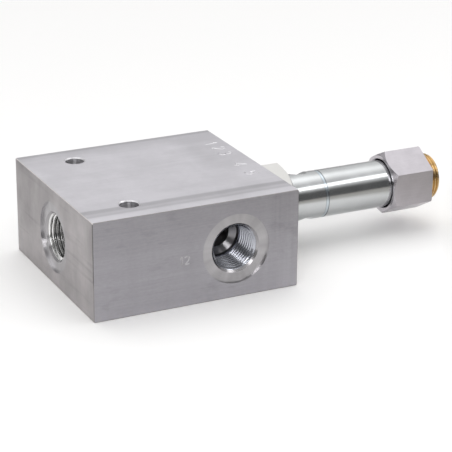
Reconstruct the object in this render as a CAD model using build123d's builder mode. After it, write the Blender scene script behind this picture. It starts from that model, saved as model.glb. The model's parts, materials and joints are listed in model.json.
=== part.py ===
from build123d import *
import os
from math import cos, radians, sin, sqrt, tan

# Hydraulic control valve: an aluminium block with two ports and a screw-in solenoid cartridge.
# All sizes are in millimetres. The origin is the centre of the block's bottom face, +Z is up,
# and +X runs along the cartridge, out of the block. The side port opens towards -Y.

# Block
block_length = 97.0
block_width = 92.0
block_height = 45.0
block_edge_break = 0.3
valve_height = 22.5

# Mounting holes, drilled straight down through the block
mount_hole_radius = 4.25
mount_hole_sink_radius = 4.75
mount_hole_spacing = 62.0
mount_hole_inset = 23.0

# Ports, G 1/2 with a spot face
port_thread_radius = 10.48
port_drill_radius = 9.3
port_mouth_radius = 11.4
port_spot_radius = 16.0
port_spot_depth = 1.0
port_thread_depth = 16.0
port_drill_depth = 18.0
drill_point_angle = 118.0
side_port_inset = 30.2
side_passage_radius = 6.4
end_passage_radius = 7.5

# Cartridge cavity, measured from the block's right face
seal_recess_radius = 15.8
seal_recess_depth = 2.4
cavity_thread_radius = 13.5
cavity_thread_depth = 19.0
gallery_radius = 12.0
gallery_land = 0.9
nose_bore_radius = 11.1
nose_bore_length = 10.0

# Clearances
fixed_fit = 0.05
sliding_fit = 0.03
armature_fit = 0.08
end_gap = 0.2
contact_gap = 0.1

# Cartridge body
hexagon_width = 32.0
hexagon_length = 16.0
hexagon_face_radius = 15.5
hexagon_setback = 2.7
flange_neck_radius = 12.8
thread_runout = 1.0
cage_radius = 10.2
cage_hole_radius = 3.0
cage_hole_count = 6
cage_bore_radius = 7.0
nose_gap = 0.5
nose_groove_inset = 2.7
nose_groove_depth = 2.0
backup_thickness = 1.2
nose_ring_width = 1.9

# Spool, its spring and what holds them
stroke = 3.0
spool_overlap = 0.6
spool_hole_radius = 2.0
spool_hole_count = 4
spool_bore_radius = 3.3
spool_pocket_radius = 5.4
spool_pocket_wall = 1.5
spool_land = 12.0
spool_end_wall = 8.0
spool_vent_radius = 0.5
spool_vent_circle = 2.7
balance_groove_width = 0.4
balance_groove_depth = 0.3
balance_groove_pitch = 2.5
balance_groove_count = 3
spool_stop_gap = 0.6
spring_wire_radius = 0.6
spring_mean_radius = 4.3
spring_pitch = 2.3
spring_ground = 0.2
snap_groove_inset = 1.2
snap_ring_width = 1.1
snap_groove_depth = 0.6
snap_ring_inner_radius = 5.9
snap_ring_opening = 3.0
spring_seat_width = 1.5
spring_seat_hole_radius = 3.2

# Armature tube
tube_radius = 11.25
tube_wall = 2.35
tube_reach = 60.0
socket_depth = 18.5
socket_thread_radius = 9.0
socket_thread_length = 12.5
socket_nose_radius = 8.0
pole_foot_length = 17.6
pole_nose_length = 2.3
pole_bore_radius = 2.6
pole_groove_inset = 1.8
pole_groove_width = 2.0
pole_groove_depth = 1.7
brazed_ring_width = 1.8
brazed_ring_relief = 0.15
flats_width = 20.0
flats_inset = 4.8
flats_length = 9.0
flats_lead_in = 4.2
flats_lead_out = 1.8
flats_corner_radius = 2.0
flats_tilt = 20.0

# Armature, push pin and bearings
shim_width = 0.3
pin_radius = 2.0
bearing_length = 6.0
bearing_wall = 1.6
bearing_oil_groove = 0.5
armature_hole_radius = 1.2
armature_hole_circle = 5.5

# Brass end with the hand override
end_plug_length = 13.0
end_thread_radius = 10.95
end_thread_length = 20.0
end_chamfer = 1.0
end_recess_radius = 4.5
end_recess_depth = 3.0
override_radius = 2.45
override_head_radius = 3.2
override_head_length = 3.0
override_chamber_radius = 3.4
override_proud = 1.0
override_seal_inset = 9.0
override_seal_width = 1.2
override_seal_depth = 0.85

# Coil nut
nut_width = 27.0
nut_length = 21.0
nut_cover = 7.0
nut_skirt_radius = 11.7
nut_skirt_depth = 7.5
nut_skirt_chamfer = 0.35
nut_face_radius = 13.4
nut_setback = 2.0
nut_edge_break = 0.3
nut_groove_inset = 3.1
nut_groove_width = 1.8
nut_groove_depth = 1.05

# Places along the valve's axis
left_x = -block_length / 2
seat_x = block_length / 2
front_y = -block_width / 2
side_port_x = seat_x - side_port_inset
gallery_end_x = side_port_x - side_passage_radius - gallery_land
cavity_end_x = gallery_end_x - nose_bore_length
nose_x = cavity_end_x + nose_gap
hexagon_end_x = seat_x + hexagon_length
snap_groove_x = nose_x + snap_groove_inset
spring_seat_x = snap_groove_x + snap_ring_width
spring_x = spring_seat_x + spring_seat_width
spool_x = spring_x + stroke + spool_stop_gap
spool_hole_x = side_port_x + cage_hole_radius + spool_overlap + spool_hole_radius
spool_pocket_x = spool_hole_x - spool_hole_radius - spool_pocket_wall
spool_end_x = spool_hole_x + spool_hole_radius + spool_land
socket_x = hexagon_end_x - socket_depth
brazed_ring_x = hexagon_end_x + pole_foot_length
tube_x = brazed_ring_x + brazed_ring_width
pole_face_x = brazed_ring_x + pole_nose_length
tube_end_x = hexagon_end_x + tube_reach
plug_x = tube_end_x - end_plug_length
armature_x = pole_face_x + shim_width + stroke + end_gap
armature_end_x = plug_x - end_gap
rear_bearing_end_x = plug_x + bearing_length
pin_end_x = rear_bearing_end_x + stroke + end_gap
override_x = pin_end_x + contact_gap
override_shoulder_x = override_x + override_head_length
thread_end_x = tube_end_x + end_thread_length
recess_x = thread_end_x - end_recess_depth
override_seal_x = recess_x - override_seal_inset
nut_x = tube_end_x - nut_cover
nut_end_x = nut_x + nut_length

# Radii that follow from a bore and its clearance
tube_bore_radius = tube_radius - tube_wall
armature_radius = tube_bore_radius - armature_fit
bearing_radius = pin_radius + bearing_wall
nose_radius = nose_bore_radius - fixed_fit
nose_groove_radius = nose_radius - nose_groove_depth
spool_radius = cage_bore_radius - sliding_fit
nut_bore_radius = end_thread_radius + fixed_fit
nut_groove_radius = nut_skirt_radius + nut_groove_depth

valve_axis = Axis((0, 0, valve_height), (1, 0, 0))
# Plane of the turned profiles: its first coordinate runs along the valve, its second is the radius
profile_plane = Plane(origin=(0, 0, valve_height), x_dir=(1, 0, 0), z_dir=(0, -1, 0))
# The spanner flats are tilted from upright, as the tube happened to stop when it was tightened
flats_plane = Plane(
    origin=(0, 0, valve_height),
    x_dir=(1, 0, 0),
    z_dir=(0, -cos(radians(flats_tilt)), sin(radians(flats_tilt))),
)
end_port_plane = Plane(origin=(left_x, 0, valve_height), x_dir=(0, 1, 0), z_dir=(1, 0, 0))
side_port_plane = Plane(origin=(side_port_x, front_y, valve_height), x_dir=(1, 0, 0), z_dir=(0, 1, 0))
drill_point_slope = tan(radians(drill_point_angle / 2))
base_on_plane = (Align.CENTER, Align.CENTER, Align.MIN)


def across(x):
    """The plane square to the valve's axis at x, looking out of the block."""
    return Plane(origin=(x, 0, valve_height), x_dir=(0, 1, 0), z_dir=(1, 0, 0))


def rod(plane, start, end, radius, mode=Mode.ADD):
    """A round bar along the plane's normal, between two depths."""
    with Locations(plane.offset(start)):
        Cylinder(radius, end - start, align=base_on_plane, mode=mode)


def taper(plane, start, end, start_radius, end_radius, mode=Mode.ADD):
    """A cone along the plane's normal, between two depths."""
    with Locations(plane.offset(start)):
        Cone(start_radius, end_radius, end - start, align=base_on_plane, mode=mode)


def turned(start_x, end_x, radius):
    """Adds a cylinder on the valve's axis."""
    rod(across(0), start_x, end_x, radius)


def bored(start_x, end_x, radius):
    """Removes a cylinder on the valve's axis."""
    rod(across(0), start_x, end_x, radius, Mode.SUBTRACT)


def port(plane, passage_radius, passage_end):
    """A threaded port with its spot face, tapping hole and the passage behind it."""
    floor = port_spot_depth
    mouth_chamfer = port_mouth_radius - port_thread_radius
    drill_end = floor + port_drill_depth
    point_end = drill_end + (port_drill_radius - passage_radius) / drill_point_slope
    rod(plane, 0, floor, port_spot_radius, Mode.SUBTRACT)
    taper(plane, floor, floor + mouth_chamfer, port_mouth_radius, port_thread_radius, Mode.SUBTRACT)
    rod(plane, floor, floor + port_thread_depth, port_thread_radius, Mode.SUBTRACT)
    rod(plane, floor, drill_end, port_drill_radius, Mode.SUBTRACT)
    taper(plane, drill_end, point_end, port_drill_radius, passage_radius, Mode.SUBTRACT)
    rod(plane, drill_end, passage_end, passage_radius, Mode.SUBTRACT)


def ring_seal(centre_x, inner_radius, outer_radius):
    """An O-ring between two radii, its middle at centre_x."""
    with Locations(across(centre_x)):
        Torus((inner_radius + outer_radius) / 2, (outer_radius - inner_radius) / 2)


with BuildPart() as valve_block:
    with Locations((0, 0, block_height / 2)):
        Box(block_length, block_width, block_height)
    chamfer(valve_block.edges(), block_edge_break)
    with Locations((left_x + mount_hole_inset, 0, block_height)):
        with GridLocations(0, mount_hole_spacing, 1, 2):
            CounterSinkHole(mount_hole_radius, mount_hole_sink_radius, counter_sink_angle=90)
    port(end_port_plane, end_passage_radius, cavity_end_x - left_x)
    port(side_port_plane, side_passage_radius, block_width / 2)
    bored(seat_x - seal_recess_depth, seat_x, seal_recess_radius)
    bored(seat_x - cavity_thread_depth, seat_x, cavity_thread_radius)
    bored(gallery_end_x, seat_x, gallery_radius)
    bored(cavity_end_x, seat_x, nose_bore_radius)

with BuildPart() as cartridge_body:
    with BuildSketch(across(seat_x)):
        RegularPolygon(hexagon_width / 2, 6, major_radius=False, rotation=30)
    extrude(amount=hexagon_length)
    corner_radius = hexagon_width / sqrt(3)
    with BuildSketch(profile_plane):
        with BuildLine():
            Polyline(
                (seat_x, 0),
                (seat_x, corner_radius),
                (hexagon_end_x - hexagon_setback, corner_radius),
                (hexagon_end_x, hexagon_face_radius),
                (hexagon_end_x, 0),
                close=True,
            )
        make_face()
    revolve(axis=valve_axis, mode=Mode.INTERSECT)
    turned(seat_x - seal_recess_depth, seat_x, flange_neck_radius)
    turned(
        seat_x - cavity_thread_depth + thread_runout,
        seat_x - seal_recess_depth,
        cavity_thread_radius - fixed_fit,
    )
    turned(gallery_end_x, seat_x - cavity_thread_depth + thread_runout, cage_radius)
    turned(nose_x, gallery_end_x, nose_radius)
    bored(nose_x, hexagon_end_x, cage_bore_radius)
    bored(socket_x, hexagon_end_x, socket_nose_radius)
    bored(hexagon_end_x - socket_thread_length, hexagon_end_x, socket_thread_radius)
    bored(snap_groove_x, snap_groove_x + snap_ring_width, cage_bore_radius + snap_groove_depth)
    with Locations(across(side_port_x)):
        with PolarLocations(0, cage_hole_count):
            Cylinder(
                cage_hole_radius,
                gallery_radius,
                rotation=(0, 90, 0),
                align=base_on_plane,
                mode=Mode.SUBTRACT,
            )
    groove_x = nose_x + nose_groove_inset
    groove_width = nose_ring_width + 2 * backup_thickness + 2 * contact_gap
    with BuildSketch(across(groove_x)):
        Circle(nose_radius)
        Circle(nose_groove_radius, mode=Mode.SUBTRACT)
    extrude(amount=groove_width, mode=Mode.SUBTRACT)

with BuildPart() as flange_oring:
    ring_seal(
        seat_x - seal_recess_depth / 2,
        seal_recess_radius - seal_recess_depth,
        seal_recess_radius - contact_gap,
    )

with BuildPart() as nose_oring:
    ring_seal(groove_x + groove_width / 2, nose_groove_radius + fixed_fit, nose_radius)

with BuildPart() as nose_backup_front:
    turned(groove_x, groove_x + backup_thickness, nose_radius)
    bored(groove_x, groove_x + backup_thickness, nose_groove_radius + fixed_fit)

with BuildPart() as nose_backup_rear:
    backup_x = groove_x + groove_width - backup_thickness
    turned(backup_x, backup_x + backup_thickness, nose_radius)
    bored(backup_x, backup_x + backup_thickness, nose_groove_radius + fixed_fit)

with BuildPart() as retaining_ring:
    ring_radius = cage_bore_radius + snap_groove_depth - fixed_fit
    turned(snap_groove_x, snap_groove_x + snap_ring_width, ring_radius)
    bored(snap_groove_x, snap_groove_x + snap_ring_width, snap_ring_inner_radius)
    with Locations((snap_groove_x + snap_ring_width / 2, 0, valve_height + ring_radius)):
        Box(snap_ring_width, snap_ring_opening, ring_radius, mode=Mode.SUBTRACT)

with BuildPart() as spring_seat:
    turned(spring_seat_x, spring_x, cage_bore_radius - fixed_fit)
    bored(spring_seat_x, spring_x, spring_seat_hole_radius)

with BuildPart() as spool_spring:
    coil_start_x = spring_x + spring_ground
    coil_length = spool_pocket_x - spring_x - 2 * spring_ground
    with BuildLine() as coil:
        Helix(
            spring_pitch,
            coil_length,
            spring_mean_radius,
            center=(coil_start_x, 0, valve_height),
            direction=(1, 0, 0),
        )
    with BuildSketch(Plane(origin=coil.line @ 0, z_dir=coil.line % 0)):
        Circle(spring_wire_radius)
    sweep()
    rod(across(0), spring_x, spool_pocket_x, spool_pocket_radius, Mode.INTERSECT)

with BuildPart() as spool:
    turned(spool_x, spool_end_x, spool_radius)
    bored(spool_x, spool_pocket_x, spool_pocket_radius)
    bored(spool_x, spool_end_x - spool_end_wall, spool_bore_radius)
    with Locations(across(spool_hole_x)):
        with PolarLocations(0, spool_hole_count):
            Cylinder(
                spool_hole_radius,
                cage_bore_radius,
                rotation=(0, 90, 0),
                align=base_on_plane,
                mode=Mode.SUBTRACT,
            )
    with Locations(across(spool_end_x - spool_end_wall)):
        with PolarLocations(spool_vent_circle, 2):
            Cylinder(spool_vent_radius, spool_end_wall, align=base_on_plane, mode=Mode.SUBTRACT)
    for turn in range(1, balance_groove_count + 1):
        with BuildSketch(across(spool_end_x - turn * balance_groove_pitch)):
            Circle(spool_radius)
            Circle(spool_radius - balance_groove_depth, mode=Mode.SUBTRACT)
        extrude(amount=balance_groove_width, mode=Mode.SUBTRACT)

with BuildPart() as pole_piece:
    pole_x = socket_x + end_gap
    turned(pole_x, hexagon_end_x, socket_nose_radius - fixed_fit)
    turned(
        hexagon_end_x - socket_thread_length + thread_runout,
        hexagon_end_x,
        socket_thread_radius - fixed_fit,
    )
    turned(hexagon_end_x, brazed_ring_x, tube_radius)
    turned(brazed_ring_x, pole_face_x, tube_bore_radius - fixed_fit)
    bored(pole_x, pole_face_x, pole_bore_radius)
    bored(pole_face_x - bearing_length, pole_face_x, bearing_radius + fixed_fit)
    with BuildSketch(across(pole_x + pole_groove_inset)):
        Circle(socket_nose_radius)
        Circle(socket_nose_radius - pole_groove_depth, mode=Mode.SUBTRACT)
    extrude(amount=pole_groove_width, mode=Mode.SUBTRACT)
    flats_x = hexagon_end_x + flats_inset
    flats_end_x = flats_x + flats_length
    outside_tube = 1.2 * tube_radius
    with BuildSketch(flats_plane):
        for side in (1, -1):
            with BuildLine():
                Polyline(
                    (flats_x, side * tube_radius),
                    (flats_x + flats_lead_in, side * flats_width / 2),
                    (flats_end_x - flats_lead_out, side * flats_width / 2),
                    (flats_end_x, side * tube_radius),
                    (flats_end_x, side * outside_tube),
                    (flats_x, side * outside_tube),
                    close=True,
                )
            make_face()
        floor_corners = [v for v in vertices() if abs(abs(v.Y) - flats_width / 2) < 1e-6]
        fillet(floor_corners, flats_corner_radius)
    extrude(amount=tube_radius, both=True, mode=Mode.SUBTRACT)

with BuildPart() as pole_oring:
    ring_seal(
        pole_x + pole_groove_inset + pole_groove_width / 2,
        socket_nose_radius - pole_groove_depth + fixed_fit,
        socket_nose_radius - fixed_fit,
    )

with BuildPart() as nonmagnetic_ring:
    turned(brazed_ring_x, tube_x, tube_radius - brazed_ring_relief)
    bored(brazed_ring_x, tube_x, tube_bore_radius)

with BuildPart() as armature_tube:
    turned(tube_x, tube_end_x, tube_radius)
    bored(tube_x, tube_end_x, tube_bore_radius)

with BuildPart() as anti_stick_shim:
    turned(pole_face_x, pole_face_x + shim_width, armature_radius)
    bored(pole_face_x, pole_face_x + shim_width, pole_bore_radius)

with BuildPart() as armature:
    turned(armature_x, armature_end_x, armature_radius)
    bored(armature_x, armature_end_x, pin_radius + sliding_fit)
    with Locations(across(armature_x)):
        with PolarLocations(armature_hole_circle, 2):
            Cylinder(
                armature_hole_radius,
                armature_end_x - armature_x,
                align=base_on_plane,
                mode=Mode.SUBTRACT,
            )

with BuildPart() as push_pin:
    turned(spool_end_x + contact_gap, pin_end_x, pin_radius)

with BuildPart() as front_bearing:
    turned(pole_face_x - bearing_length, pole_face_x, bearing_radius)
    bored(pole_face_x - bearing_length, pole_face_x, pin_radius + sliding_fit)
    with Locations(across(pole_face_x - bearing_length)):
        with PolarLocations(bearing_radius, 2):
            Cylinder(bearing_oil_groove, bearing_length, align=base_on_plane, mode=Mode.SUBTRACT)

with BuildPart() as rear_bearing:
    turned(plug_x, rear_bearing_end_x, bearing_radius)
    bored(plug_x, rear_bearing_end_x, pin_radius + sliding_fit)
    with Locations(across(plug_x)):
        with PolarLocations(bearing_radius, 2):
            Cylinder(bearing_oil_groove, bearing_length, align=base_on_plane, mode=Mode.SUBTRACT)

with BuildPart() as tube_end_piece:
    turned(plug_x, tube_end_x, tube_bore_radius - fixed_fit)
    turned(tube_end_x, thread_end_x - end_chamfer, end_thread_radius)
    taper(
        across(0),
        thread_end_x - end_chamfer,
        thread_end_x,
        end_thread_radius,
        end_thread_radius - end_chamfer,
    )
    bored(plug_x, rear_bearing_end_x, bearing_radius + fixed_fit)
    bored(rear_bearing_end_x, override_shoulder_x + end_gap, override_chamber_radius)
    bored(override_shoulder_x, thread_end_x, override_radius + fixed_fit)
    bored(recess_x, thread_end_x, end_recess_radius)

with BuildPart() as override_pin:
    turned(override_x, override_shoulder_x, override_head_radius)
    turned(override_shoulder_x, recess_x + override_proud, override_radius)
    with BuildSketch(across(override_seal_x)):
        Circle(override_radius)
        Circle(override_radius - override_seal_depth, mode=Mode.SUBTRACT)
    extrude(amount=override_seal_width, mode=Mode.SUBTRACT)

with BuildPart() as override_oring:
    ring_seal(
        override_seal_x + override_seal_width / 2,
        override_radius - override_seal_depth + sliding_fit,
        override_radius + sliding_fit / 2,
    )

with BuildPart() as coil_nut:
    with BuildSketch(across(nut_x)):
        RegularPolygon(nut_width / 2, 6, major_radius=False, rotation=30)
    extrude(amount=nut_length)
    nut_corner_radius = nut_width / sqrt(3)
    with BuildSketch(profile_plane):
        with BuildLine():
            Polyline(
                (nut_x, 0),
                (nut_x, nut_face_radius),
                (nut_x + nut_setback, nut_corner_radius),
                (nut_end_x - nut_edge_break, nut_corner_radius),
                (nut_end_x, nut_corner_radius - nut_edge_break),
                (nut_end_x, 0),
                close=True,
            )
        make_face()
    revolve(axis=valve_axis, mode=Mode.INTERSECT)
    bored(nut_x, nut_end_x, nut_bore_radius)
    bored(nut_x, nut_x + nut_skirt_depth, nut_skirt_radius)
    taper(
        across(0),
        nut_x,
        nut_x + nut_skirt_chamfer,
        nut_skirt_radius + nut_skirt_chamfer,
        nut_skirt_radius,
        Mode.SUBTRACT,
    )
    bored(
        nut_x + nut_groove_inset,
        nut_x + nut_groove_inset + nut_groove_width,
        nut_groove_radius,
    )

with BuildPart() as coil_nut_oring:
    ring_seal(
        nut_x + nut_groove_inset + nut_groove_width / 2,
        tube_radius + fixed_fit,
        nut_groove_radius - fixed_fit,
    )

pieces = {
    "valve_block": valve_block,
    "cartridge_body": cartridge_body,
    "flange_oring": flange_oring,
    "nose_oring": nose_oring,
    "nose_backup_front": nose_backup_front,
    "nose_backup_rear": nose_backup_rear,
    "retaining_ring": retaining_ring,
    "spring_seat": spring_seat,
    "spool_spring": spool_spring,
    "spool": spool,
    "pole_piece": pole_piece,
    "pole_oring": pole_oring,
    "nonmagnetic_ring": nonmagnetic_ring,
    "armature_tube": armature_tube,
    "anti_stick_shim": anti_stick_shim,
    "armature": armature,
    "push_pin": push_pin,
    "front_bearing": front_bearing,
    "rear_bearing": rear_bearing,
    "tube_end_piece": tube_end_piece,
    "override_pin": override_pin,
    "override_oring": override_oring,
    "coil_nut": coil_nut,
    "coil_nut_oring": coil_nut_oring,
}

os.makedirs("parts", exist_ok=True)
for name, piece in pieces.items():
    piece.part.label = name
    export_step(piece.part, f"parts/{name}.step")
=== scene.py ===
"""Hydraulic control valve: a milled aluminium block with two ports and a screw-in solenoid cartridge."""
import json
from math import cos, pi, radians, sin

import bmesh
import bpy
import numpy as np
from mathutils import Matrix, Vector


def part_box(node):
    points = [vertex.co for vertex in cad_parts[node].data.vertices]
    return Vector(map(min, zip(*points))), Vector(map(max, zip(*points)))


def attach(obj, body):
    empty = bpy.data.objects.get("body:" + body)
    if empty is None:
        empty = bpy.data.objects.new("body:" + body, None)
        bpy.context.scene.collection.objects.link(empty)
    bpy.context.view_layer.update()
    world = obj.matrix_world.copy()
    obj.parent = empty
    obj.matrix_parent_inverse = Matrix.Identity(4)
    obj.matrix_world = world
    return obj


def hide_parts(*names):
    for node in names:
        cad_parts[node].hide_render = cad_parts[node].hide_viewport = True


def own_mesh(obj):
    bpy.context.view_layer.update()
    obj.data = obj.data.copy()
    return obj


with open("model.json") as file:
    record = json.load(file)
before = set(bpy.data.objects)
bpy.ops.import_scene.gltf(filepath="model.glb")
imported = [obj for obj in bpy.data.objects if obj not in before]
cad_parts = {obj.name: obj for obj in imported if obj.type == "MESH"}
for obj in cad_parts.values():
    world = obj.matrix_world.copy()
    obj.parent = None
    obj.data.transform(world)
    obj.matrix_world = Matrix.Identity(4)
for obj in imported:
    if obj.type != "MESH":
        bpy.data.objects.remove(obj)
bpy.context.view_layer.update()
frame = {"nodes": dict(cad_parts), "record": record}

mm = 0.001
mounts = {mount["name"]: mount for mount in frame["record"]["mounts"]}
block_low, block_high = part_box("valve_block")
tube_low, tube_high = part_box("armature_tube")
axis_height = (tube_low.z + tube_high.z) / 2
valve_origin = Vector((0, 0, axis_height))

# Camera, as the photograph was taken
camera_place = Vector((-305.6, -688.6, 311.7)) * mm
camera_azimuth = 26.38
camera_dip = 21.17
camera_roll = 0.47
focal_length_px = 1795
frame_width_px = 452

# Threads: turn holds the angles round the axis at which a thread's points lie, and overlap is how
# far the ports' sleeves reach into the wall
port_pitch = 1.814 * mm
port_crest_height = 1.1 * mm
port_runout = 0.7 * port_pitch
end_pitch = 1.5 * mm
end_crest_height = 0.9 * mm
ridge_steepness = 1.5
ridge_lowering = 0.25
rows_per_pitch = 24
turn = np.linspace(0, 2 * pi, 181)
overlap = 0.03 * mm

# Points this near each other become one: on a closed seam, and on a shape made of loose triangles
seam_join = 0.0001 * mm
facet_join = 0.001 * mm
shell_sharp_angle = 70
facet_sharp_angle = 30

# Bores of the tube's brass end
tube_wall = 2.35 * mm
fixed_fit = 0.05 * mm
end_chamfer = 1.0 * mm
end_recess_radius = 4.5 * mm
end_recess_depth = 3.0 * mm
pin_head_length = 3.0 * mm
pin_end_gap = 0.2 * mm
pin_bore_radius = 2.5 * mm
pin_chamber_radius = 3.4 * mm

# Block
spot_depth = 1.0 * mm
spot_radius = 16.0 * mm
mouth_end = 2.0 * mm
bore_length = 40.0 * mm
edge_break = 0.3 * mm
sink_depth = 0.6 * mm

# Stamped marks
mark_depth = 0.26 * mm
mark_half_width = 0.34 * mm
mark_floor_half_width = 0.08 * mm
mark_clearance = 0.1 * mm
mark_height = 6.0
front_mark_height = 3.6
deeper_stroke_share = 0.02

# Lamps and floor
lamp_distance = 1.1
floor_half_width = 6.0
floor_level = -0.02 * mm


def screen(red, green, blue):
    """The linear colour of a screen colour given from 0 to 255."""
    parts = np.array([red, green, blue]) / 255
    linear = np.where(parts <= 0.04045, parts / 12.92, ((parts + 0.055) / 1.055) ** 2.4)
    return tuple(linear.tolist())


def add_node(tree, kind, inputs=None, **settings):
    """Adds a node. An input's value is a number, a vector, or another node's output."""
    made = tree.nodes.new(kind)
    for name, value in settings.items():
        setattr(made, name, value)
    for name, value in (inputs or {}).items():
        if isinstance(value, bpy.types.NodeSocket):
            tree.links.new(value, made.inputs[name])
        else:
            made.inputs[name].default_value = value
    return made


def arithmetic(tree, operation, first, second=0.0):
    """One Math node's result."""
    return add_node(tree, "ShaderNodeMath", {0: first, 1: second}, operation=operation).outputs[0]


def product(tree, first, *others):
    """Several numbers multiplied."""
    for other in others:
        first = arithmetic(tree, "MULTIPLY", first, other)
    return first


def vector_result(tree, operation, first, second, output=0):
    """One Vector Math node's result."""
    made = add_node(tree, "ShaderNodeVectorMath", {0: first, 1: second}, operation=operation)
    return made.outputs[output]


def remap(tree, value, from_low, from_high, to_low, to_high):
    """A value carried from one range to another, and held at the ends."""
    inputs = {
        "Value": value,
        "From Min": from_low,
        "From Max": from_high,
        "To Min": to_low,
        "To Max": to_high,
    }
    return add_node(tree, "ShaderNodeMapRange", inputs).outputs["Result"]


def profile(tree, value, stops):
    """A number or a colour that follows a value through stops: pairs of the value and what it
    gives there. The first and the last stop hold beyond the ends."""
    low, high = stops[0][0], stops[-1][0]
    ramp = add_node(tree, "ShaderNodeValToRGB", {"Fac": remap(tree, value, low, high, 0, 1)})
    elements = ramp.color_ramp.elements
    while len(elements) < len(stops):
        elements.new(0.5)
    for element, (place, level) in zip(elements, stops):
        element.position = (place - low) / (high - low)
        element.color = (*(level if isinstance(level, tuple) else (level, level, level)), 1)
    return ramp.outputs["Color"]


def profile_mm(tree, value, stops):
    """A profile whose stops are given in millimetres."""
    return profile(tree, value, [(at * mm, level) for at, level in stops])


def grain(tree, coordinates, scale, detail=3.0, roughness=0.6):
    """Noise whose cells are stretched: scale is how many cells a metre holds along each direction."""
    stretched = vector_result(tree, "MULTIPLY", coordinates, scale)
    inputs = {"Vector": stretched, "Scale": 1.0, "Detail": detail, "Roughness": roughness}
    return add_node(tree, "ShaderNodeTexNoise", inputs).outputs["Fac"]


def varied(tree, noise, spread):
    """A shade that follows a noise over its usual range, from 1 - spread to 1 + spread."""
    return remap(tree, noise, 0.3, 0.7, 1 - spread, 1 + spread)


def object_coordinates(tree):
    """Coordinates on the piece itself, in metres."""
    return add_node(tree, "ShaderNodeTexCoord").outputs["Object"]


def separated(tree, vector):
    """The three parts of a vector."""
    return add_node(tree, "ShaderNodeSeparateXYZ", {0: vector}).outputs


def new_material(name, metallic, **sockets):
    """An empty material: its tree and its shader, with the numbers that are the same all over."""
    made = bpy.data.materials.new(name)
    made.use_nodes = True
    shader = made.node_tree.nodes["Principled BSDF"]
    shader.inputs["Metallic"].default_value = metallic
    for socket, value in sockets.items():
        shader.inputs[socket].default_value = value
    return made, made.node_tree, shader


def finish_surface(tree, shader, colour, shade, roughness, height, depth):
    """Joins the colour times its shade, the roughness and the bump to the shader."""
    shaded = add_node(tree, "ShaderNodeVectorMath", {0: colour, "Scale": shade}, operation="SCALE")
    tree.links.new(shaded.outputs[0], shader.inputs["Base Color"])
    tree.links.new(roughness, shader.inputs["Roughness"])
    bump = add_node(tree, "ShaderNodeBump", {"Height": height, "Distance": depth, "Strength": 1.0})
    tree.links.new(bump.outputs["Normal"], shader.inputs["Normal"])


def milled_metal(name, colour, lines, roughness, depth, contrast=0.06, blotch=0.05, marks_and_painted_light=None,
                 metallic=1.0):
    """A surface with cutter lines: lines is the noise scale that stretches them along the cut. The last
    function argument gives one more shade: marks, and on some faces painted light and shade too."""
    made, tree, shader = new_material(name, metallic)
    place = object_coordinates(tree)
    fine = grain(tree, place, lines)
    broad = grain(tree, place, tuple(part / 9 for part in lines), detail=2.0)
    cloud = grain(tree, place, (60, 60, 60))
    shade = product(
        tree,
        varied(tree, fine, contrast),
        varied(tree, broad, blotch),
        varied(tree, cloud, blotch),
    )
    if marks_and_painted_light:
        shade = product(tree, shade, marks_and_painted_light(tree, place))
    rough = remap(tree, fine, 0.25, 0.75, roughness - 0.04, roughness + 0.04)
    finish_surface(tree, shader, colour, shade, rough, fine, depth)
    return made


def turned_metal(name, colour, centre, axis, roughness, depth, rings=(4000, 4000, 0), contrast=0.06,
                 anisotropy=0.0, fan=0.0, metallic=1.0):
    """A metal with fine rings round an axis, as a lathe, a drill or a spot-facing cutter leaves.
    rings is how many of them a metre holds along the radius and along the axis. Anisotropy
    stretches the highlights square to the rings. fan is the contrast of the paler and darker
    rays that spread from the axis."""
    made, tree, shader = new_material(name, metallic, Anisotropic=anisotropy)
    place = object_coordinates(tree)
    offset = vector_result(tree, "SUBTRACT", place, centre)
    across = tuple(1.0 - abs(part) for part in axis)
    flat = vector_result(tree, "MULTIPLY", offset, across)
    radius = vector_result(tree, "LENGTH", flat, across, "Value")
    along = vector_result(tree, "DOT_PRODUCT", offset, axis, "Value")
    lathe = add_node(tree, "ShaderNodeCombineXYZ", {"X": radius, "Y": along}).outputs[0]
    ring = grain(tree, lathe, rings, detail=2.0)
    cloud = grain(tree, place, (110, 110, 110))
    shade = product(tree, varied(tree, ring, contrast), varied(tree, cloud, 0.04))
    if fan:
        ray = grain(tree, vector_result(tree, "NORMALIZE", flat, across), (2.2, 2.2, 2.2), detail=2.0)
        shade = product(tree, shade, remap(tree, ray, 0.35, 0.65, 1 - fan, 1 + fan))
    rough = remap(tree, cloud, 0.3, 0.7, roughness - 0.03, roughness + 0.03)
    finish_surface(tree, shader, colour, shade, rough, ring, depth)
    if anisotropy:
        around = vector_result(tree, "CROSS_PRODUCT", axis, flat)
        surface_normal = add_node(tree, "ShaderNodeNewGeometry").outputs["Normal"]
        across_rings = vector_result(tree, "CROSS_PRODUCT", around, surface_normal)
        tree.links.new(across_rings, shader.inputs["Tangent"])
    return made


def nut_metal(name, colour, roughness, turned_roughness, depth):
    """The nut's finish: milled flats, and smoother turned faces at its ends. A face is turned where
    its normal leans along the nut's axis."""
    made, tree, shader = new_material(name, 1.0)
    place = object_coordinates(tree)
    lines = grain(tree, place, (60, 1500, 1500))
    cloud = grain(tree, place, (130, 130, 130), detail=4.0)
    normal = add_node(tree, "ShaderNodeNewGeometry").outputs["Normal"]
    lean = arithmetic(tree, "ABSOLUTE", separated(tree, normal)["X"])
    rough = remap(tree, lean, 0.2, 0.4, roughness, turned_roughness)
    shade = product(tree, varied(tree, lines, 0.03), remap(tree, cloud, 0.35, 0.65, 0.94, 1.05))
    finish_surface(tree, shader, colour, shade, rough, lines, depth)
    return made


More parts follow.
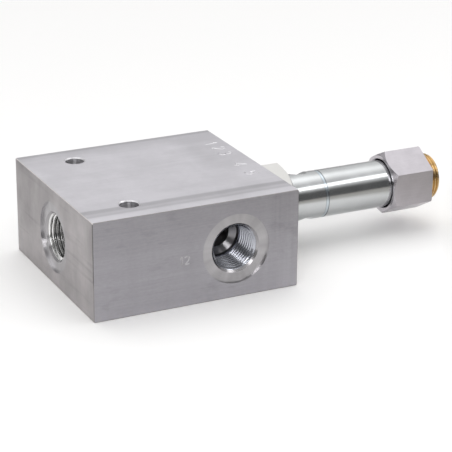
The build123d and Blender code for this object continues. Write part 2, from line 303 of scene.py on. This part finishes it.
def ring_marks(tree, place):
    """On the brazed ring: a thin dark line along each edge."""
    low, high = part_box("nonmagnetic_ring")
    line_width = 0.3 * mm
    line_end = 1.3 * line_width
    line_shade = 0.6
    stops = [
        (low.x, line_shade),
        (low.x + line_width, line_shade),
        (low.x + line_end, 1),
        (high.x - line_end, 1),
        (high.x - line_width, line_shade),
        (high.x, line_shade),
    ]
    return profile(tree, separated(tree, place)["X"], stops)


def top_marks(tree, place):
    """On the top: a darker and a lighter strip along the front edge, a dark line along the back
    edge, a duller patch round the stamped numbers, and faint stains."""
    wander = grain(tree, place, (30, 30, 30))
    parts = separated(tree, place)
    across = arithmetic(tree, "ADD", parts["Y"], remap(tree, wander, 0.3, 0.7, -0.3 * mm, 0.3 * mm))
    stops = [
        (-46.0, 1.04),
        (-42.5, 1.03),
        (-40.6, 0.97),
        (-39.6, 0.80),
        (-38.6, 0.78),
        (-37.4, 0.84),
        (-36.4, 0.80),
        (-35.4, 0.70),
        (-33.0, 0.72),
        (-31.6, 0.97),
        (-29.0, 1.0),
        (30.0, 1.0),
        (38.0, 0.92),
        (42.5, 0.86),
        (43.6, 0.72),
        (46.0, 0.70),
    ]
    strips = profile_mm(tree, across, stops)
    dull = product(
        tree,
        profile_mm(tree, parts["X"], [(22, 0), (29, 0.08), (38, 0.08), (46, 0.05)]),
        profile_mm(tree, parts["Y"], [(-14, 0), (0, 1), (34, 1), (42, 0)]),
    )
    stain = grain(tree, place, (42, 42, 42), detail=5.0, roughness=0.7)
    smear = grain(tree, place, (24, 150, 150), detail=2.0)
    return product(
        tree,
        strips,
        arithmetic(tree, "SUBTRACT", 1.0, dull),
        remap(tree, stain, 0.4, 0.6, 0.95, 1.03),
        remap(tree, smear, 0.35, 0.65, 0.985, 1.015),
    )


def front_marks_and_painted_light(tree, place):
    """On the front: faint upright smears that grow towards the right edge, soft smudges and fine specks,
    and painted light: a tone that gets paler towards the foot, against the block's own shade on the
    floor that the face reflects."""
    smear = grain(tree, place, (260, 10, 14), detail=2.0)
    smudge = grain(tree, place, (80, 80, 150), detail=3.0)
    speck = grain(tree, place, (500, 500, 1100))
    parts = separated(tree, place)
    # Painted light and shade: paler towards the foot, darker towards the top
    painted_light_by_height = [(0.5, 1.3), (3, 1.18), (5, 1.13), (8, 1.07), (12, 1.04), (22, 1.0), (32, 0.96), (43, 0.92)]
    strength = profile_mm(tree, parts["X"], [(25, 0.2), (38, 1.0)])
    lift = product(tree, remap(tree, smear, 0.35, 0.65, -0.05, 0.06), strength)
    return product(
        tree,
        profile_mm(tree, parts["Z"], painted_light_by_height),
        arithmetic(tree, "ADD", 1.0, lift),
        remap(tree, smudge, 0.58, 0.72, 1.0, 0.88),
        remap(tree, speck, 0.35, 0.65, 0.97, 1.03),
    )


def end_marks_and_painted_light(tree, place):
    """On the sawn ends: dark streaks along the cut, soft upright patches and blots, and painted light
    and shade: a paler foot, darker strips along the top and the front edge, and a darker half towards
    the back."""
    streak = grain(tree, place, (10, 14, 260), detail=2.0)
    patch = grain(tree, place, (30, 55, 22), detail=4.0)
    blot = grain(tree, place, (60, 60, 60), detail=4.0)
    parts = separated(tree, place)
    # Painted light and shade: paler at the foot, darker along the top, along the front edge and over the
    # back half
    painted_light_by_height = [(0, 1.05), (2, 1.14), (10, 1.12), (16, 1.05), (22, 1.0), (36, 0.97), (43, 0.95), (45, 0.87)]
    across = [(-46, 0.9), (-43, 0.95), (-39, 1.02), (-20, 1.02), (10, 0.93), (22, 0.86), (46, 0.85)]
    return product(
        tree,
        profile_mm(tree, parts["Z"], painted_light_by_height),
        profile_mm(tree, parts["Y"], across),
        remap(tree, streak, 0.55, 0.72, 1.0, 0.82),
        remap(tree, patch, 0.35, 0.65, 0.85, 1.08),
        remap(tree, blot, 0.35, 0.65, 0.9, 1.07),
    )


def edge_painted_light_and_shade(tree, place):
    """Painted light and shade on the broken edges: painted light makes them pale along the ends of the
    top, they stay plain along its long sides, and painted shade makes them dark along the upper part of
    the upright edges."""
    parts = separated(tree, place)
    from_middle = arithmetic(tree, "ABSOLUTE", parts["X"])
    end = block_high.x - edge_break
    # Painted light: paler at the ends of the top than along its long sides
    pale = profile(tree, from_middle, [(end - 0.2 * mm, 0.45), (end, 1)])
    # Painted shade: dark down the upper part of the upright edges
    stops = [
        (0, 1),
        (0.3, 1),
        (0.6, 0.45),
        (14, 0.45),
        (19, 0.25),
        (44.4, 0.25),
        (44.7, 1),
    ]
    upright = profile_mm(tree, parts["Z"], stops)
    return product(tree, pale, upright)


def mesh_piece(name, points, faces, sharp_angle=40, join=0.0):
    """An object from arrays of points and faces, its faces turned to point outwards. An edge is
    sharp where its faces meet at more than sharp_angle, in degrees. Points that are nearer than
    join become one."""
    corners = points[faces]
    fan = np.cross(corners[:, 1] - corners[:, 0], corners[:, 2] - corners[:, 0])
    other_fan = np.cross(corners[:, 2] - corners[:, 0], corners[:, -1] - corners[:, 0])
    if np.sum((fan + other_fan) * corners[:, 0]) < 0:
        faces = faces[:, ::-1]
    mesh = bpy.data.meshes.new(name)
    mesh.from_pydata(points.tolist(), [], faces.tolist())
    bm = bmesh.new()
    bm.from_mesh(mesh)
    bmesh.ops.remove_doubles(bm, verts=bm.verts, dist=join)
    bm.to_mesh(mesh)
    bm.free()
    mesh.polygons.foreach_set("use_smooth", np.ones(len(mesh.polygons), bool))
    mesh.set_sharp_from_angle(angle=radians(sharp_angle))
    made = bpy.data.objects.new(name, mesh)
    bpy.context.scene.collection.objects.link(made)
    return made


def shell(name, origin, across, up, along, radii):
    """A closed shell round an axis. Point (i, j) is along[i, j] from origin on the axis, and
    radii[i, j] from it in the direction cos(turn j) across + sin(turn j) up. The last row meets
    the first, and the last column lies on the first and is joined to it."""
    rows, columns = radii.shape
    axis = np.cross(across, up)
    spokes = np.outer(np.cos(turn), across) + np.outer(np.sin(turn), up)
    points = np.array(origin) + along[..., None] * axis + radii[..., None] * spokes[None]
    first = np.arange(rows)[:, None] * columns
    second = np.roll(np.arange(rows), -1)[:, None] * columns
    here = np.arange(columns - 1)[None]
    quads = np.stack([first + here, first + here + 1, second + here + 1, second + here], -1)
    return mesh_piece(name, points.reshape(-1, 3), quads.reshape(-1, 4), shell_sharp_angle, seam_join)


def thread_rows(length, pitch):
    """Places along a thread's axis, in rows that climb with it: row i lies i / rows_per_pitch - 1
    pitches from the start, plus one pitch for each turn, held between the thread's ends."""
    rows = int(np.ceil((length / pitch + 1) * rows_per_pitch)) + 1
    climb = np.arange(rows)[:, None] / rows_per_pitch - 1 + turn / (2 * pi)
    return np.clip(climb * pitch, 0, length)


def helix_ridge(along, pitch):
    """The height of a thread's ridge, from 0 in its root to 1 on its crest: a triangle wave cut off
    above and below, so that root and crest are each a sixth of a pitch wide. The wave follows the
    place along the axis less one pitch for each turn."""
    phase = along / pitch - turn / (2 * pi)
    wave = np.abs(2 * (phase % 1) - 1)
    return np.clip(ridge_steepness * wave - ridge_lowering, 0, 1)


def port_thread(name, mount):
    """The thread in a port: a sleeve whose inner radius is the wall's radius less the ridge, and
    never less than the mouth's 45-degree cone. Towards the end its grooves run out."""
    inwards = -Vector(mount["axis"])
    up = Vector((0, 0, 1))
    across = up.cross(inwards)
    wall_radius = mount["dims"]["r_mm"] * mm
    length = mount["dims"]["length_mm"] * mm
    depth = thread_rows(length, port_pitch)
    fade = np.clip((length - depth) / port_runout, 0, 1)
    ridge = port_crest_height * (1 - fade * (1 - helix_ridge(depth, port_pitch)))
    inner = wall_radius - overlap - np.minimum(ridge, depth)
    outer_depth = np.array([length, 0])[:, None] + 0 * turn
    outer = np.full(outer_depth.shape, wall_radius + overlap)
    start = Vector(mount["pos_m"]) - inwards * length / 2
    along = np.vstack([depth, outer_depth])
    made = shell(name, start, across, up, along, np.vstack([inner, outer]))
    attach(made, "housing")
    return made


def brass_end():
    """The tube's brass end: the outline of the turned part, with a helix thread outside. The
    thread's radius is the outside radius less the depth of the groove at that place and angle."""
    low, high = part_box("tube_end_piece")
    pin_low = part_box("override_pin")[0]
    bearing_low, bearing_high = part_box("rear_bearing")
    shoulder = pin_low.x + pin_head_length + pin_end_gap
    bearing_bore = (bearing_high.z - bearing_low.z) / 2 + fixed_fit
    plug_radius = (tube_high.z - tube_low.z) / 2 - tube_wall - fixed_fit
    outside = (high.z - low.z) / 2
    thread_start = tube_high.x
    depth = thread_rows(high.x - thread_start, end_pitch)
    thread_x = thread_start + depth
    fade = np.clip(depth / end_pitch, 0, 1)
    groove = end_crest_height * fade * (1 - helix_ridge(depth, end_pitch))
    cone = outside - end_chamfer + (high.x - thread_x)
    thread_radius = np.minimum(outside - groove, cone)
    before = [(low.x, bearing_bore), (low.x, plug_radius), (thread_start, plug_radius)]
    after = [
        (high.x, end_recess_radius),
        (high.x - end_recess_depth, end_recess_radius),
        (high.x - end_recess_depth, pin_bore_radius),
        (shoulder, pin_bore_radius),
        (shoulder, pin_chamber_radius),
        (bearing_high.x, pin_chamber_radius),
        (bearing_high.x, bearing_bore),
    ]
    spread = np.ones(len(turn))
    before_x, before_radius = (np.outer(column, spread) for column in zip(*before))
    after_x, after_radius = (np.outer(column, spread) for column in zip(*after))
    along = np.vstack([before_x, thread_x, after_x])
    radii = np.vstack([before_radius, thread_radius, after_radius])
    made = shell("brass_end", valve_origin, Vector((0, 1, 0)), Vector((0, 0, 1)), along, radii)
    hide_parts("tube_end_piece")
    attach(made, "housing")
    return made


def line(start, end):
    """A straight stroke."""
    return np.linspace(start, end, 2)


def arc(centre, radius, start, end, steps=10):
    """A round stroke between two angles in degrees."""
    bend = np.radians(np.linspace(start, end, steps))
    return np.column_stack([centre[0] + radius * np.cos(bend), centre[1] + radius * np.sin(bend)])


# Stamped digits, as strokes in a box that is 1 high
digits = {
    "1": [line((0.1, 0.76), (0.36, 1.02)), line((0.34, 1.0), (0.34, 0.0))],
    "2": [
        np.vstack([arc((0.3, 0.7), 0.29, 165, -30), line((0.4, 0.38), (0.03, 0.02))]),
        line((0.0, 0.0), (0.62, 0.0)),
    ],
    "3": [arc((0.3, 0.75), 0.25, 150, -85), arc((0.29, 0.27), 0.28, 85, -150)],
    "4": [
        line((0.46, 0.0), (0.46, 1.0)),
        line((0.48, 1.03), (-0.02, 0.28)),
        line((-0.05, 0.3), (0.64, 0.3)),
    ],
    "5": [
        line((0.58, 1.0), (0.06, 1.0)),
        line((0.1, 1.03), (0.07, 0.56)),
        arc((0.27, 0.32), 0.31, 128, -150),
    ],
}


def stroke_cutter(path, origin, across, up, depth):
    """A closed bar along a stroke, wide above the surface and narrow at its floor: a four-sided
    section carried along the path, square to it."""
    outwards = np.cross(across, up)
    heading = np.gradient(path, axis=0)
    heading /= np.linalg.norm(heading, axis=1)[:, None]
    aside = np.column_stack([-heading[:, 1], heading[:, 0]])
    slope = (mark_half_width - mark_floor_half_width) / mark_depth
    top_half_width = mark_half_width + slope * mark_clearance
    section = [
        (-top_half_width, mark_clearance),
        (-mark_floor_half_width, -depth),
        (mark_floor_half_width, -depth),
        (top_half_width, mark_clearance),
    ]
    rings = []
    for offset, height in section:
        flat = path + aside * offset
        rings.append(np.array(origin) + flat[:, :1] * across + flat[:, 1:] * up + height * outwards)
    points = np.stack(rings, 1).reshape(-1, 3)
    count = len(path)
    step = np.arange(count - 1)[:, None] * 4
    side = np.arange(4)[None]
    next_side = np.roll(np.arange(4), -1)[None]
    walls = np.stack([step + side, step + next_side, step + 4 + next_side, step + 4 + side], -1)
    ends = np.array([[3, 2, 1, 0], np.arange(4) + 4 * (count - 1)])
    return points, np.vstack([walls.reshape(-1, 4), ends])


def stamp_cutters():
    """The cutters of the stamped digits' strokes: plain numbers on the top and front faces. Each
    stroke of a digit is a little deeper than the one before, so that no two floors coincide."""
    top = np.array([0, 0, block_high.z])
    front = np.array([0, block_low.y, 0])
    right = np.array([1.0, 0, 0])
    back = np.array([0, 1.0, 0])
    up = np.array([0, 0, 1.0])
    # Each stamp: digit, origin of its face, direction of writing, direction of its height, place
    # and height in millimetres, tilt in degrees
    stamps = [
        ("1", top, -back, right, (-28.6, 38.0), mark_height, 4),
        ("2", top, -back, right, (-21.4, 38.6), mark_height, -3),
        ("3", top, -back, right, (-13.4, 37.8), mark_height, 2),
        ("4", top, -back, right, (2.6, 37.4), mark_height, -4),
        ("5", top, -back, right, (15.6, 36.6), mark_height, 5),
        ("1", front, right, up, (-8.9, 19.5), front_mark_height, 0),
        ("2", front, right, up, (-6.2, 19.5), front_mark_height, 3),
    ]
    cutters = []
    for digit, origin, across, height_way, place, height, tilt in stamps:
        lean = radians(tilt)
        spin = np.array([[cos(lean), -sin(lean)], [sin(lean), cos(lean)]])
        for number, stroke in enumerate(digits[digit]):
            path = (stroke * height) @ spin.T * mm + np.array(place) * mm
            depth = mark_depth * (1 + deeper_stroke_share * number)
            points, faces = stroke_cutter(path, origin, across, height_way, depth)
            cutters.append(mesh_piece("stroke_cutter", points, faces))
    return cutters


def merged_copy(node, name):
    """A copy of a node's own shape, its loose triangles joined."""
    source = frame["nodes"][node].data
    points = np.empty(3 * len(source.vertices))
    source.vertices.foreach_get("co", points)
    corners = np.empty(3 * len(source.polygons), int)
    source.polygons.foreach_get("vertices", corners)
    points, corners = points.reshape(-1, 3), corners.reshape(-1, 3)
    return mesh_piece(name, points, corners, facet_sharp_angle, facet_join)


def return_spring():
    """The spool's spring: a joined copy of its shape, with a mesh of its own."""
    made = merged_copy("spool_spring", "return_spring")
    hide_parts("spool_spring")
    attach(made, "housing")
    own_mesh(made)
    return made


def stamped_block():
    """The block's own shape with the stamped digits cut into it."""
    block = merged_copy("valve_block", "block")
    cutters = stamp_cutters()
    for cutter in cutters:
        cut = block.modifiers.new("stroke", "BOOLEAN")
        cut.operation = "DIFFERENCE"
        cut.solver = "EXACT"
        cut.object = cutter
    bpy.context.view_layer.update()
    evaluated = block.evaluated_get(bpy.context.evaluated_depsgraph_get())
    shaped = bpy.data.meshes.new_from_object(evaluated)
    block.modifiers.clear()
    block.data = shaped
    for cutter in cutters:
        bpy.data.objects.remove(cutter)
    shaped.polygons.foreach_set("use_smooth", np.ones(len(shaped.polygons), bool))
    shaped.set_sharp_from_angle(angle=radians(facet_sharp_angle))
    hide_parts("valve_block")
    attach(block, "housing")
    return block


def paint_block(block, finishes):
    """Gives each face of the block its finish, by the face's middle and normal."""
    mesh = block.data
    mesh.materials.clear()
    for material in finishes.values():
        mesh.materials.append(material)
    index = {name: number for number, name in enumerate(finishes)}
    count = len(mesh.polygons)
    middle = np.empty(3 * count)
    normal = np.empty(3 * count)
    mesh.polygons.foreach_get("center", middle)
    mesh.polygons.foreach_get("normal", normal)
    middle = middle.reshape(-1, 3)
    normal = normal.reshape(-1, 3)
    low, high = np.array(block_low), np.array(block_high)
    near = 0.02 * mm
    stamp_margin = 2 * mm
    # Limits for the cosine between a face's normal and an axis
    straight = 0.99
    leaning = 0.9
    tilted = 0.5
    square = 0.3
    chosen = np.full(count, index["hole"])
    depth = np.minimum(middle - low, high - middle)
    second_depth = np.sort(depth, 1)[:, 1]
    edge = (second_depth < edge_break + near) & (np.abs(normal).max(1) < leaning)
    chosen[edge] = index["edge"]
    chosen[(depth[:, 2] < sink_depth) & ~edge & (np.abs(normal[:, 2]) > tilted)] = index["sink"]
    for port, axis in (("side", 1), ("end", 0)):
        offset = middle - np.array(mounts[f"{port}_port"]["pos_m"])
        offset[:, axis] = 0
        inside = np.linalg.norm(offset, axis=1) < spot_radius + 2 * near
        inwards = middle[:, axis] - low[axis]
        shallow = inwards < spot_depth + 2 * near
        chosen[inside & (inwards < bore_length)] = index[f"{port}_drill"]
        chosen[inside & (inwards < mouth_end)] = index[f"{port}_mouth"]
        chosen[inside & shallow] = index[f"{port}_spot"]
        chosen[inside & shallow & (np.abs(normal[:, axis]) < square)] = index["spot_wall"]
    sides = [
        ("top", 2, 1, high),
        ("bottom", 2, -1, low),
        ("front", 1, -1, low),
        ("back", 1, 1, high),
        ("left", 0, -1, low),
        ("right", 0, 1, high),
    ]
    for name, axis, way, limit in sides:
        flat = (np.abs(middle[:, axis] - limit[axis]) < near) & (way * normal[:, axis] > straight)
        chosen[flat] = index[name]
    stamp_reach = 1.2 * mark_depth
    shallow = (depth.min(1) < stamp_reach) & (depth.min(1) > near) & ~edge
    stamped = shallow & (second_depth > stamp_margin) & (chosen == index["hole"])
    chosen[stamped] = index["stamp"]
    chosen[stamped & (middle[:, 1] < low[1] + stamp_margin)] = index["front_stamp"]
    mesh.polygons.foreach_set("material_index", chosen)
    mesh.update()


def make_block():
    """The block and its finishes: milled top, brushed front, sawn ends, machined holes. Some carry
    painted light and shade: the lighter holes and end-port thread, the darker drilled bores, the edges,
    and the paler foot of the front and ends.
    """
    along_x = (25, 1800, 1800)
    side_centre = tuple(mounts["side_port"]["pos_m"])
    end_centre = tuple(mounts["end_port"]["pos_m"])
    side_axis = (0, 1, 0)
    end_axis = (1, 0, 0)
    mouth = screen(169, 167, 169)
    # The drilled stretch beyond the threads: darker than the other machined faces, painted shade deep in
    # the ports
    drill = screen(150, 149, 152)
    face_rings = (2600, 0, 0)
    wall_rings = (0, 4000, 0)
    fine = 0.002 * mm
    rough = 0.006 * mm
    spot_looks = {
        "roughness": 0.34,
        "depth": fine,
        "rings": face_rings,
        "contrast": 0.05,
        "anisotropy": 0.5,
        "fan": 0.1,
    }
    mouth_looks = {"roughness": 0.24, "depth": fine, "rings": wall_rings}
    drill_looks = {"roughness": 0.3, "depth": rough, "rings": wall_rings, "anisotropy": 0.9}
    finishes = {
        "top": milled_metal(
            "milled_top",
            screen(207, 205, 210),
            along_x,
            roughness=0.42,
            depth=0.003 * mm,
            contrast=0.035,
            blotch=0.02,
            marks_and_painted_light=top_marks,
        ),
        "front": milled_metal(
            "brushed_front",
            screen(165, 163, 168),
            along_x,
            roughness=0.48,
            depth=0.004 * mm,
            contrast=0.05,
            blotch=0.02,
            marks_and_painted_light=front_marks_and_painted_light,
        ),
        "left": milled_metal(
            "sawn_end",
            screen(178, 174, 175),
            lines=(900, 30, 900),
            roughness=0.5,
            depth=rough,
            contrast=0.03,
            blotch=0.02,
            marks_and_painted_light=end_marks_and_painted_light,
        ),
        "edge": milled_metal(
            "broken_edge", screen(224, 220, 220), along_x, roughness=0.6, depth=fine, marks_and_painted_light=edge_painted_light_and_shade
        ),
        "side_spot": turned_metal(
            "side_spot_face", screen(169, 167, 169), side_centre, side_axis, **spot_looks
        ),
        "end_spot": turned_metal(
            "end_spot_face", screen(163, 161, 163), end_centre, end_axis, **spot_looks
        ),
        "side_bore": turned_metal(
            "side_bore",
            screen(184, 186, 194),
            side_centre,
            side_axis,
            roughness=0.18,
            depth=fine,
            rings=wall_rings,
        ),
        # The end port's thread is much lighter than the side port's: painted light that lifts it
        "end_bore_painted_light": turned_metal(
            "end_bore_painted_light",
            screen(238, 238, 237),
            end_centre,
            end_axis,
            roughness=0.14,
            depth=fine,
            rings=wall_rings,
        ),
        "side_mouth": turned_metal("side_mouth", mouth, side_centre, side_axis, **mouth_looks),
        "end_mouth": turned_metal("end_mouth", mouth, end_centre, end_axis, **mouth_looks),
        "side_drill": turned_metal("side_drill", drill, side_centre, side_axis, **drill_looks),
        "end_drill": turned_metal("end_drill", drill, end_centre, end_axis, **drill_looks),
        "spot_wall": milled_metal(
            "spot_wall",
            screen(226, 225, 227),
            lines=(300, 300, 300),
            roughness=0.19,
            depth=fine,
            contrast=0.03,
            blotch=0.02,
        ),
        "sink": milled_metal(
            "hole_sink", screen(240, 239, 242), lines=(900, 900, 900), roughness=0.3, depth=fine
        ),
        # Holes: a colour much lighter than the block's faces, painted light inside them
        "hole": turned_metal(
            "drilled_hole_painted_light",
            screen(222, 221, 224),
            end_centre,
            axis=(0, 0, 1),
            roughness=0.3,
            depth=rough,
            rings=(0, 1500, 0),
            contrast=0.2,
            anisotropy=0.95,
        ),
        "stamp": milled_metal(
            "stamped_floor", screen(174, 172, 176), lines=(600, 600, 600), roughness=0.42, depth=fine
        ),
        "front_stamp": milled_metal(
            "etched_floor", screen(194, 192, 195), lines=(900, 900, 900), roughness=0.5, depth=fine
        ),
    }
    finishes["back"] = finishes["front"]
    finishes["bottom"] = finishes["top"]
    finishes["right"] = finishes["left"]
    block = stamped_block()
    paint_block(block, finishes)
    side_thread = port_thread("side_port_thread", mounts["side_port"])
    side_thread.data.materials.append(finishes["side_bore"])
    end_thread = port_thread("end_port_thread", mounts["end_port"])
    end_thread.data.materials.append(finishes["end_bore_painted_light"])


def give(material, *nodes):
    """Gives CAD nodes a material."""
    for name in nodes:
        for slot in frame["nodes"][name].material_slots:
            slot.link = "OBJECT"
            slot.material = material


def make_cartridge():
    """Finishes of the cartridge, its tube, the nut and the pieces inside."""
    fine = 0.002 * mm
    lathe = {"centre": tuple(valve_origin), "axis": (1, 0, 0), "depth": fine}
    zinc = turned_metal("bright_zinc", screen(196, 198, 199), roughness=0.17, contrast=0.02, **lathe)
    hexagon = milled_metal(
        "zinc_hexagon",
        screen(197, 196, 194),
        lines=(120, 900, 900),
        roughness=0.4,
        depth=fine,
        contrast=0.02,
        blotch=0.02,
    )
    ring = milled_metal(
        "brazed_ring",
        screen(192, 200, 206),
        lines=(4000, 60, 60),
        roughness=0.2,
        depth=fine,
        contrast=0.02,
        blotch=0.02,
        marks_and_painted_light=ring_marks,
    )
    brass = turned_metal("brass", screen(212, 184, 138), roughness=0.22, contrast=0.03, **lathe)
    nut = nut_metal(
        "nut_aluminium", screen(189, 185, 190), roughness=0.34, turned_roughness=0.24, depth=fine
    )
    steel = turned_metal("ground_steel", screen(170, 170, 172), roughness=0.2, **lathe)
    iron = turned_metal("turned_iron", screen(140, 140, 140), roughness=0.35, **lathe)
    bronze = turned_metal("bearing_bronze", screen(180, 140, 90), roughness=0.3, **lathe)
    spring = milled_metal(
        "spring_steel", screen(120, 120, 124), lines=(900, 900, 900), roughness=0.3, depth=fine
    )
    rubber = milled_metal(
        "seal_rubber",
        screen(26, 26, 27),
        lines=(400, 400, 400),
        roughness=0.6,
        depth=fine,
        metallic=0.0,
    )
    plastic = milled_metal(
        "ring_plastic",
        screen(222, 222, 216),
        lines=(300, 300, 300),
        roughness=0.5,
        depth=fine,
        metallic=0.0,
    )
    give(zinc, "armature_tube", "pole_piece")
    give(hexagon, "cartridge_body")
    give(ring, "nonmagnetic_ring")
    give(nut, "coil_nut")
    give(steel, "spring_seat", "spool", "push_pin", "override_pin")
    give(iron, "armature")
    give(bronze, "front_bearing", "rear_bearing", "anti_stick_shim")
    give(spring, "retaining_ring")
    give(rubber, "flange_oring", "nose_oring", "pole_oring", "override_oring", "coil_nut_oring")
    give(plastic, "nose_backup_front", "nose_backup_rear")
    brass_end().data.materials.append(brass)
    return_spring().data.materials.append(spring)


def make_camera():
    """The camera where the photograph's was, turned and rolled as it was."""
    azimuth, dip, roll = radians(camera_azimuth), radians(camera_dip), radians(camera_roll)
    ahead = Vector((sin(azimuth) * cos(dip), cos(azimuth) * cos(dip), -sin(dip)))
    level = ahead.cross(Vector((0, 0, 1))).normalized()
    upright = level.cross(ahead)
    right = cos(roll) * level + sin(roll) * upright
    up = -sin(roll) * level + cos(roll) * upright
    camera = bpy.data.objects.new("camera", bpy.data.cameras.new("camera"))
    camera.data.sensor_width = 36
    camera.data.lens = focal_length_px * camera.data.sensor_width / frame_width_px
    camera.data.clip_start = 0.01
    camera.data.clip_end = 100
    facing = Matrix((right, up, -ahead)).transposed().to_4x4()
    camera.matrix_world = Matrix.Translation(camera_place) @ facing
    bpy.context.scene.collection.objects.link(camera)
    bpy.context.scene.camera = camera


def softbox(name, towards, width, height, strength):
    """A soft lamp that stands in a direction from the block and faces it. Its width and height are
    in metres, and its power grows with its area, so that strength is its brightness."""
    way = Vector(towards).normalized()
    lamp = bpy.data.lights.new(name, "AREA")
    lamp.shape = "RECTANGLE"
    lamp.size = width
    lamp.size_y = height
    lamp.energy = strength * pi * width * height
    made = bpy.data.objects.new(name, lamp)
    made.location = (block_low + block_high) / 2 + way * lamp_distance
    made.rotation_euler = way.to_track_quat("Z", "Y").to_euler()
    bpy.context.scene.collection.objects.link(made)


def make_light():
    """A studio: a pale dome that is brightest overhead and darker low down at the front and left,
    and soft lamps at the right, at the left and low beside the object."""
    world = bpy.data.worlds.new("studio")
    bpy.context.scene.world = world
    world.use_nodes = True
    tree = world.node_tree
    direction = add_node(tree, "ShaderNodeTexCoord").outputs["Generated"]
    # Each stop: a direction's height along a leaning axis, and the dome's or the glow's level there
    dome = [
        (-1.0, 0.13),
        (0.14, 0.13),
        (0.22, 0.23),
        (0.30, 0.56),
        (0.37, 0.70),
        (0.48, 0.53),
        (0.6, 0.42),
        (0.76, 0.75),
        (0.85, 0.83),
        (1.0, 0.9),
    ]
    glow = [(0.6, 0.0), (0.8, 0.1), (0.86, 0.45), (0.9, 1.0), (1.0, 1.2)]
    dome_axis = (0.25, 0.45, 0.87)
    glow_axis = (0, 0.3, 1)
    levels = []
    for axis, stops in ((dome_axis, dome), (glow_axis, glow)):
        lean = Vector(axis).normalized()
        height = vector_result(tree, "DOT_PRODUCT", direction, lean, "Value")
        levels.append(profile(tree, height, stops))
    level = arithmetic(tree, "ADD", *levels)
    tree.links.new(level, tree.nodes["Background"].inputs["Color"])
    softbox("right_box", (0.5, -0.48, 0.69), width=1.1, height=0.2, strength=2.4)
    softbox("left_box", (-0.5, -0.63, 0.6), width=0.38, height=0.26, strength=4.4)
    softbox("low_left_box", (-0.26, -0.84, 0.46), width=0.38, height=0.19, strength=6.6)
    softbox("side_fill", (-0.93, -0.25, 0.27), width=0.6, height=0.35, strength=1.1)


def make_floor():
    """A plain pale floor with painted shade: it gets darker towards the right and the front of the
    object, so that the metal reflects a darker floor there.
    """
    flat = floor_half_width * np.array([(-1, -1), (1, -1), (1, 1), (-1, 1)])
    points = np.column_stack([flat, np.full(len(flat), floor_level)])
    mesh = bpy.data.meshes.new("floor")
    mesh.from_pydata(points.tolist(), [], [(0, 1, 2, 3)])
    floor = bpy.data.objects.new("floor", mesh)
    bpy.context.scene.collection.objects.link(floor)
    looks = {"Specular IOR Level": 0.0, "Roughness": 0.9}
    made, tree, shader = new_material("floor_paper_with_painted_shade", 0.0, **looks)
    painted_shade_way = (0.833, -0.553, 0)
    away = vector_result(tree, "DOT_PRODUCT", object_coordinates(tree), painted_shade_way, "Value")
    # Each stop: the distance from the origin that way in metres, and the paper's colour there; the
    # darker stops are painted shade
    paper = [
        (0.128, (0.975, 0.97, 0.965)),
        (0.17, (0.54, 0.525, 0.5)),
        (0.5, (0.4, 0.385, 0.36)),
    ]
    tree.links.new(profile(tree, away, paper), shader.inputs["Base Color"])
    mesh.materials.append(made)


make_camera()
make_light()
make_floor()
make_block()
make_cartridge()

bpy.context.scene.view_settings.view_transform = "Standard"
